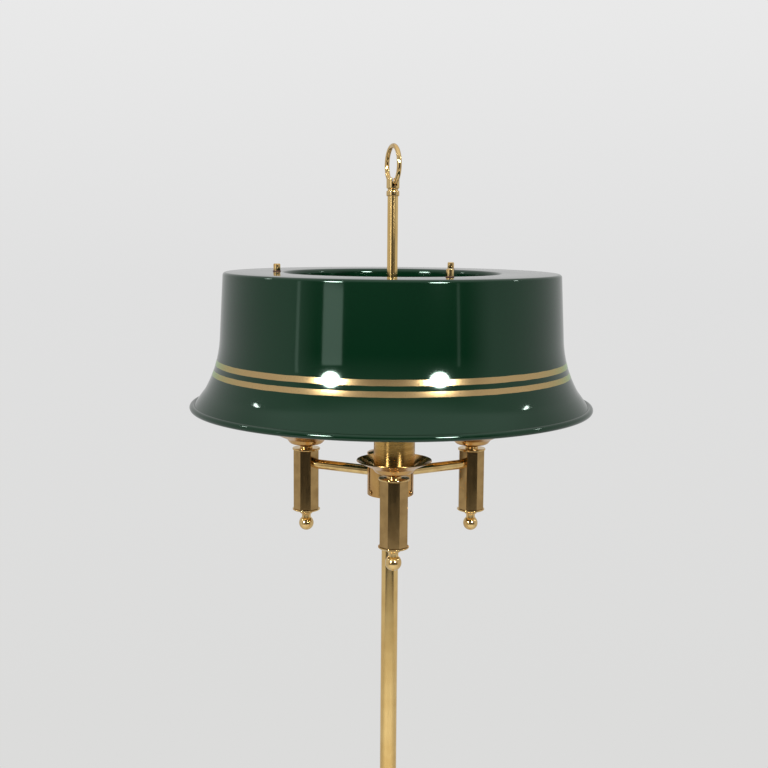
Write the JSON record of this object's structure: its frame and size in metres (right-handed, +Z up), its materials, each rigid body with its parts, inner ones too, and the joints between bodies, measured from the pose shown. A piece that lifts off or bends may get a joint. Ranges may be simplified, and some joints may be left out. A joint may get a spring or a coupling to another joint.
{
  "type": "pharmacy floor lamp",
  "caption": "Brass floor lamp with candle arms on a central hub under a wide flared green enamelled metal shade that slides and turns on a mast with a ring finial.",
  "frame": {"origin": "centre of the base's underside, on the stem's axis, at floor level", "axes": "+Z up along the stem, -Y towards the front candle, +X to the right seen from the front"},
  "size_m": [0.4002, 0.4002, 1.4998],
  "materials": {
    "polished_brass": "polished, clear lacquered",
    "satin_brass": "satin, lacquered, slightly toned",
    "green_enamel": "high gloss stoved enamel with two gilt lines",
    "cast_iron": "as cast, black painted",
    "zinc_steel": "zinc plated",
    "felt": "pressed wool felt",
    "black_plastic": "moulded",
    "nickel": "plain drawn",
    "opal_glass": "opal, gloss",
    "fibre": "vulcanised fibre"
  },
  "bodies": {
    "stand": {"arm_front": "polished_brass", "arm_left": "polished_brass", "arm_nuts": "zinc_steel", "arm_right": "polished_brass", "ball_finials": "polished_brass", "base_cover": "polished_brass", "base_pad": "felt", "base_pipe": "zinc_steel", "base_washer": "zinc_steel", "base_weight": "cast_iron", "bottom_flanges": "polished_brass", "bulb_caps": "nickel", "bulb_glass_front": "opal_glass", "bulb_glass_left": "opal_glass", "bulb_glass_right": "opal_glass", "candle_blocks": "satin_brass", "candle_body_front": "satin_brass", "candle_body_left": "satin_brass", "candle_body_right": "satin_brass", "candle_pipes": "zinc_steel", "candle_sleeve_front": "satin_brass", "candle_sleeve_left": "satin_brass", "candle_sleeve_right": "satin_brass", "cord_gland": "black_plastic", "drip_pan_front": "satin_brass", "drip_pan_left": "satin_brass", "drip_pan_right": "satin_brass", "finial_head": "polished_brass", "finial_ring": "polished_brass", "foot_collar": "polished_brass", "hickey": "zinc_steel", "hub_lid": "satin_brass", "hub_pipe": "zinc_steel", "hub_plate": "satin_brass", "hub_screws": "polished_brass", "hub_sleeve": "satin_brass", "lampholder_front": "black_plastic", "lampholder_left": "black_plastic", "lampholder_right": "black_plastic", "mast_nut": "polished_brass", "mast_rod": "polished_brass", "pipe_nuts": "zinc_steel", "stem_joint": "zinc_steel", "stem_lower_tube": "polished_brass", "stem_plugs": "zinc_steel", "stem_upper_tube": "polished_brass", "top_flanges": "polished_brass"},
    "height_collar": {"lock_collar": "polished_brass"},
    "clamp": {"clamp_screw": "polished_brass"},
    "shade": {"shade_shell": "green_enamel", "shade_carrier": "polished_brass", "shoulder_nuts": "polished_brass", "shade_seals": "fibre", "cap_nuts": "polished_brass"}
  },
  "joints": [
    {"name": "shade_height", "type": "slide", "parent": "stand", "child": "height_collar", "axis": [0, 0, 1], "range_m": [-0.025, 0.085]},
    {"name": "shade_turn", "type": "hinge", "parent": "height_collar", "child": "shade", "pos_m": [0, 0, 1.2424], "axis": [0, 0, 1], "continuous": true},
    {"name": "clamp_turn", "type": "hinge", "parent": "height_collar", "child": "clamp", "pos_m": [0, 0, 1.3324], "axis": [0.8829, -0.4695, 0], "range_deg": [0, 360]}
  ]
}
